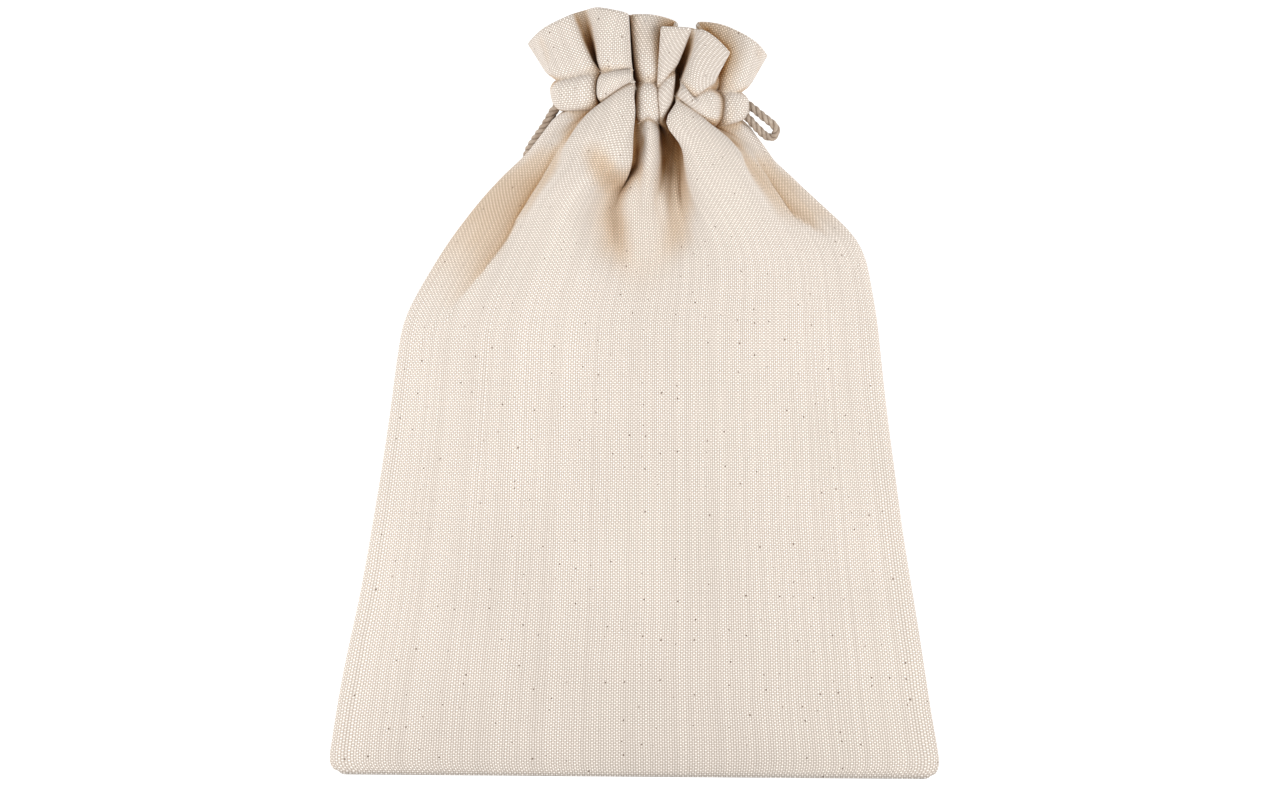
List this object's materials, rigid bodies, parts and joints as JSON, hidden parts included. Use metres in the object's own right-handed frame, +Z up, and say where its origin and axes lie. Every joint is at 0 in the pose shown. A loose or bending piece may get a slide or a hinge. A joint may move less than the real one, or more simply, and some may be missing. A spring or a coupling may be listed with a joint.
{
  "type": "cloth drawstring gift bag",
  "caption": "Cotton canvas gift bag, its neck gathered on a drawn cord with a frill above, lying on its back, for holding a small present.",
  "frame": {"origin": "on the surface that the bag lies on, under the middle of the bag's box, without the cord", "axes": "+Y along the bag from the bottom fold to the mouth, +Z up off the surface through the front, +X across the bag"},
  "size_m": [0.152, 0.193, 0.0306],
  "materials": {
    "cotton_canvas": "natural unbleached plain weave",
    "cotton_cord": "natural twisted cotton"
  },
  "bodies": {
    "root": {"bag": "cotton_canvas", "cord_loop": "cotton_cord", "cord_end_outer": "cotton_cord", "cord_end_inner": "cotton_cord"}
  },
  "joints": []
}
